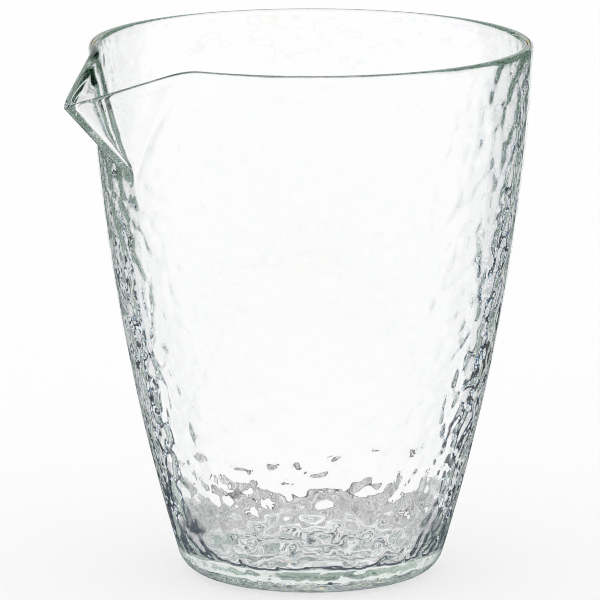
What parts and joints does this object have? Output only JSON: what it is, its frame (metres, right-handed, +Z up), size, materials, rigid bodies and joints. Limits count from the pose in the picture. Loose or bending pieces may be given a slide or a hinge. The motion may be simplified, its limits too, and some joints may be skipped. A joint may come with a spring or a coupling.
{
  "type": "tea fairness pitcher",
  "caption": "Clear hammered-glass pitcher with a tapered round body, a thick base, a rounded rim and a pulled V-shaped spout, for holding and sharing out brewed tea. It has no handle.",
  "frame": {"origin": "On the axis of the body, in the middle of the flat underside that the pitcher stands on.", "axes": "+Z up along the axis of the body, the pitcher's longest way. The spout points along -X, and the two halves on each side of it match but for their dents. +Y is to the right of someone who looks along -X over the spout."},
  "size_m": [0.0941, 0.0824, 0.1],
  "materials": {
    "clear_glass": "clear blown glass, fire-polished, with a hammered wall"
  },
  "bodies": {
    "root": {"glass_pitcher": "clear_glass"}
  },
  "joints": []
}
